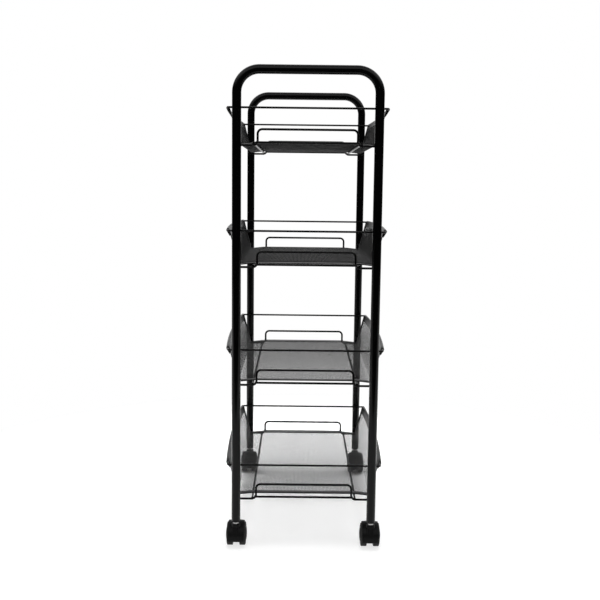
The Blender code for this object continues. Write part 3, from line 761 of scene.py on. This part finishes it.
def hoodShape():
    # the hood as one bent strip, crowned across its width
    shape = bmesh.new()
    xs = spread(-caster["hoodHalfWidth"], caster["hoodHalfWidth"], caster["acrossPoints"])
    rings = []
    for i in range(caster["hoodSteps"] + 1):
        angle = math.radians(caster["hoodFrom"] + (caster["hoodTo"] - caster["hoodFrom"]) * i / caster["hoodSteps"])
        ring = []
        outside = [(x, caster["hoodOuter"] - caster["crown"] * (x / caster["hoodHalfWidth"]) ** 2) for x in xs]
        for x, radius in outside + [(x, caster["hoodInner"]) for x in reversed(xs)]:
            y = caster["trail"] + radius * math.cos(angle)
            ring.append(shape.verts.new((x, y, caster["wheelRadius"] + radius * math.sin(angle))))
        rings.append(ring)
    for near, far in zip(rings, rings[1:]):
        for i in range(len(near)):
            j = (i + 1) % len(near)
            shape.faces.new((near[i], near[j], far[j], far[i]))
    for ring in (rings[0], rings[-1]):
        for i in range(len(xs) - 1):
            shape.faces.new((ring[i], ring[i + 1], ring[-i - 2], ring[-i - 1]))
    return bmeshObject("hood", shape)


def softened(thing):
    return easedEdges(thing, caster["ease"], caster["easeSteps"], caster["easeAngle"])


def plateShape(name, outline):
    # a plate with the outline (y, z), as wide as the web
    shape = bmesh.new()
    face = shape.faces.new([shape.verts.new((-caster["webHalfWidth"], y, z)) for y, z in outline])
    grownPart = bmesh.ops.extrude_face_region(shape, geom=[face])
    moved = [item for item in grownPart["geom"] if isinstance(item, bmesh.types.BMVert)]
    bmesh.ops.translate(shape, verts=moved, vec=(2 * caster["webHalfWidth"], 0, 0))
    return softened(bmeshObject(name, shape))


def housingMesh():
    # hood, web between the wheels, stand under the stem and its boss, joined into one solid
    hood = softened(hoodShape())
    middle = (caster["hoodInner"] + caster["hoodOuter"]) / 2
    front, rear = -caster["bossRadius"], caster["standRear"]
    foot, top = caster["standFoot"], caster["bossFoot"]
    web = plateShape("web", around(middle, *caster["webTop"], caster["webSteps"])
                     + around(caster["webRadius"], *caster["webFoot"], caster["webSteps"]))
    stand = plateShape("stand", [(front, foot), (rear, foot), (rear, top), (front, top)])
    bore, bossFoot = stem["spigotRadius"] + tab["gap"], caster["bossFoot"] - caster["bossSink"]
    boss = turned("boss", eased([(bore, bossFoot), (caster["bossRadius"], bossFoot),
                                 (caster["bossRadius"], caster["bossTop"]), (bore, caster["bossTop"])],
                                caster["bossEase"]), stem["sides"], Matrix.Identity(4))
    for part in (web, stand, boss):
        union = hood.modifiers.new("union", "BOOLEAN")
        union.operation = "UNION"
        union.solver = "EXACT"
        union.object = part
        plainMesh(hood)
        bpy.data.objects.remove(part)
    mesh = hood.data
    bpy.data.objects.remove(hood)
    return mesh


def wheelObject(name, place):
    # one wheel about Z, outer face up: tread with round shoulders, a sunk ring and a domed cap
    rimRadius, tread, ringOuter, hub = (caster["wheelRadius"], wheel["treadOuter"], wheel["ringOuter"],
                                        wheel["hubRadius"])
    profile = [(wheel["bore"], wheel["boreEnd"]), (wheel["bore"], wheel["inner"]), (rimRadius, wheel["inner"]),
               (rimRadius, tread), (ringOuter, tread + wheel["faceRise"]),
               (ringOuter - wheel["ringSlope"], tread + wheel["faceRise"] - wheel["ringDepth"]),
               (hub + wheel["ringSlope"], tread + wheel["hubRise"] - wheel["ringDepth"]),
               (hub, wheel["hubOuter"] - wheel["capDrop"]), (hub * wheel["capFlat"], wheel["hubOuter"]),
               (0, wheel["hubOuter"])]
    line = [Vector((0, wheel["boreEnd"]))] + eased(profile, wheel["shoulder"], wheel["shoulderSteps"])
    made = turned(name, line, wheel["sides"], place)
    rolled = made.data.attributes.new("rolled", "FLOAT", "POINT")
    axis = place.translation
    for vertex in made.data.vertices:
        reach = math.hypot(vertex.co.y - axis.y, vertex.co.z - axis.z)
        rolled.data[vertex.index].value = max(0.0, 1.0 - (rimRadius - reach) / wheel["dustReach"])
    return made


housingSource = housingMesh()
for corner, (side, end) in corners.items():
    place = Matrix.Translation((side * legX, end * legY, 0)) @ Matrix.Rotation(0 if end < 0 else math.pi, 4, "Z")
    housing = addObject(f"caster_{corner}_hood", housingSource.copy())
    housing.data.transform(place)
    finishPiece(housing, hoodPlastic, "swivel_" + corner, [f"caster_{corner}_housing"])

    upright = eased([(0, stem["spigotFoot"]), (stem["spigotRadius"], stem["spigotFoot"]),
                     (stem["spigotRadius"], stem["collarFoot"]), (stem["collarRadius"], stem["collarFoot"]),
                     (stem["collarRadius"], stem["collarTop"]), (stem["radius"], stem["collarTop"]),
                     (stem["radius"], stem["top"]), (0, stem["top"])], stem["ease"])
    pin = turned(f"caster_{corner}_pin", upright, stem["sides"], place)
    finishPiece(pin, zincPlate, mainBody, [f"caster_{corner}_stem"])

    sleeve = eased([(socket["bore"], socket["foot"]), (socket["flangeRadius"], socket["foot"]),
                    (socket["flangeRadius"], footZ - tab["gap"]), (socket["radius"], footZ - tab["gap"]),
                    (socket["radius"], socket["top"]), (socket["bore"], socket["top"])], socket["ease"])
    plug = turned(f"leg_plug_{corner}", sleeve, stem["sides"], place)
    finishPiece(plug, hoodPlastic, mainBody, ["leg_socket_" + corner])

    axlePlace = Vector((side * legX, end * (legY - caster["trail"]), caster["wheelRadius"]))
    for word, facing in (("left", -1), ("right", 1)):
        wheelPlace = Matrix.Translation(axlePlace) @ Matrix.Rotation(facing * math.pi / 2, 4, "Y")
        node = f"caster_{corner}_wheel_{word}"
        finishPiece(wheelObject(node + "_tyre", wheelPlace), wheelPlastic, f"wheel_{corner}_{word}",
                    [node])

    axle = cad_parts[f"caster_{corner}_axle"]
    axle.data.materials.clear()
    axle.data.materials.append(zincPlate)
print("casters turned and fitted")

# Studio: white paper that keeps the cart's shadow, with white glow painted on in front of the cart that fades it
# there, a dome that reflections see as a dim room with light overhead, and soft lamps
studio = {"paperFront": -0.62, "paperBack": 1.9, "sweep": 0.6, "sweepSteps": 16, "paperTop": 2.8,
          "paperHalfWidth": 2.2, "lampAim": (0.0, 0.0, 0.45),
          "paperShade": 0.88, "paperSeen": 1.35, "floorGap": 0.0004, "shadowReach": 0.55, "whiteReach": 0.95,
          # the next line: where along Y and how strongly white glow is painted onto the paper in front, fading the
          # cart's shadow there
          "paintedGlowFrom": 0.10, "paintedGlowFull": -0.30, "lift": ((0.02, 0.0), (0.30, 0.62), (0.72, 0.68), (0.92, 0.86)),
          "domeLevel": 0.34, "mirroredLevel": 2.0,
          "mirroredDome": ((0.0, 0.004), (0.30, 0.006), (0.68, 1.0), (0.84, 0.55), (1.0, 0.22))}
lamps = {"overhead": {"place": (0.0, -0.05, 2.4), "size": (1.2, 1.2), "power": 58.0},
         "leftFill": {"place": (-2.2, -1.2, 1.5), "size": (1.2, 1.6), "power": 4.2},
         "rightFill": {"place": (2.2, -1.2, 1.5), "size": (1.2, 1.6), "power": 4.2}}


def paperMaterial():
    made, tree = shaderTree("studioPaper")
    ray = tree.add("ShaderNodeLightPath", output="Is Camera Ray")
    seen = tree.maths("MAXIMUM", tree.maths("MAXIMUM", ray, ray.other("Is Transmission Ray")),
                      ray.other("Is Glossy Ray"))
    place = tree.add("ShaderNodeTexCoord", output="Object")
    reach = tree.add("ShaderNodeVectorMath", {"operation": "LENGTH"}, {0: place}, output="Value")
    far = tree.add("ShaderNodeMapRange", {"interpolation_type": "SMOOTHSTEP"}, {
        "Value": reach, "From Min": studio["shadowReach"], "From Max": studio["whiteReach"]})
    shade, seenShade = studio["paperShade"], studio["paperSeen"]
    plain = tree.add("ShaderNodeBsdfDiffuse", {}, {"Color": (shade, shade, shade, 1.0)})
    bright = tree.add("ShaderNodeBsdfDiffuse", {}, {"Color": (seenShade, seenShade, seenShade, 1.0)})
    white = tree.add("ShaderNodeEmission", {}, {"Color": (1.0, 1.0, 1.0, 1.0), "Strength": 1.0})
    # in front of the cart, white glow is mixed into the paper by its place along Y: painted light that makes the
    # shadow fainter there
    along = tree.add("ShaderNodeMapRange", {}, {
        "Value": tree.add("ShaderNodeSeparateXYZ", {}, {0: place}, output="Y"),
        "From Min": studio["paintedGlowFrom"], "From Max": studio["paintedGlowFull"]})
    lift = tree.add("ShaderNodeValToRGB", {"stops": studio["lift"]}, {0: along})
    lifted = tree.add("ShaderNodeMixShader", {}, {0: lift, 1: bright, 2: white})
    shown = tree.add("ShaderNodeMixShader", {}, {0: far, 1: lifted, 2: white})
    mixed = tree.add("ShaderNodeMixShader", {}, {0: seen, 1: plain, 2: shown})
    tree.add("ShaderNodeOutputMaterial", {}, {"Surface": mixed})
    return made


bend = [(studio["paperBack"] + studio["sweep"] * math.sin(a), studio["sweep"] * (1 - math.cos(a)))
        for a in spread(0.0, math.pi / 2, studio["sweepSteps"] + 1)]
paperLine = [(studio["paperFront"], 0.0), *bend, (studio["paperBack"] + studio["sweep"], studio["paperTop"])]
paperPoints = [(side * studio["paperHalfWidth"], y, z - studio["floorGap"])
               for side in (-1, 1) for y, z in paperLine]
paperFaces = [(i, len(paperLine) + i, len(paperLine) + i + 1, i + 1) for i in range(len(paperLine) - 1)]
paper = addObject("paper", meshOf("paper", paperPoints, (), paperFaces))
paper.data.shade_smooth()
paper.data.materials.append(paperMaterial())

world = bpy.data.worlds.new("dome")
bpy.context.scene.world = world
world.use_nodes = True
world.node_tree.nodes.clear()
domeTree = Tree(world.node_tree)
height = domeTree.add("ShaderNodeSeparateXYZ", {}, {0: domeTree.add("ShaderNodeTexCoord", output="Generated")},
                      output="Z")
mirroredShade = domeTree.add("ShaderNodeValToRGB", {"stops": studio["mirroredDome"]}, {0: height})
dome = domeTree.add("ShaderNodeBackground", {}, {"Color": (1.0, 1.0, 1.0, 1.0), "Strength": studio["domeLevel"]})
mirrored = domeTree.add("ShaderNodeBackground", {}, {"Color": mirroredShade, "Strength": studio["mirroredLevel"]})
white = domeTree.add("ShaderNodeBackground", {}, {"Color": (1.0, 1.0, 1.0, 1.0), "Strength": 1.0})
domeRay = domeTree.add("ShaderNodeLightPath", output="Is Camera Ray")
lighting = domeTree.add("ShaderNodeMixShader", {}, {0: domeRay.other("Is Glossy Ray"), 1: dome, 2: mirrored})
direct = domeTree.maths("MAXIMUM", domeRay, domeRay.other("Is Transmission Ray"))
sky = domeTree.add("ShaderNodeMixShader", {}, {0: direct, 1: lighting, 2: white})
domeTree.add("ShaderNodeOutputWorld", {}, {"Surface": sky})

aim = Vector(studio["lampAim"])
for lampName, lamp in lamps.items():
    light = bpy.data.lights.new(lampName, "AREA")
    light.shape = "RECTANGLE"
    light.size, light.size_y = lamp["size"]
    light.energy = lamp["power"]
    holder = bpy.data.objects.new(lampName, light)
    holder.location = lamp["place"]
    holder.rotation_euler = (aim - Vector(lamp["place"])).to_track_quat("-Z", "Y").to_euler()
    holder.visible_glossy = False
    bpy.context.scene.collection.objects.link(holder)

# Camera, from a fit of the photographed hoops, rims and guard loops
camera = {"place": (-0.01347, -1.73258, 0.65404), "pitchDown": 0.13093, "turnRight": 0.00201, "roll": 0.01122,
          "focalPixels": 869.1, "framePixels": 600, "sensor": 36.0}
lens = bpy.data.cameras.new("photoLens")
lens.sensor_width = camera["sensor"]
lens.lens = camera["focalPixels"] / camera["framePixels"] * camera["sensor"]
photoCamera = bpy.data.objects.new("photoCamera", lens)
photoCamera.matrix_world = (Matrix.Translation(camera["place"]) @ Matrix.Rotation(-camera["turnRight"], 4, "Z")
                            @ Matrix.Rotation(math.pi / 2 - camera["pitchDown"], 4, "X")
                            @ Matrix.Rotation(camera["roll"], 4, "Z"))
bpy.context.scene.collection.objects.link(photoCamera)
bpy.context.scene.camera = photoCamera
print("studio lit")
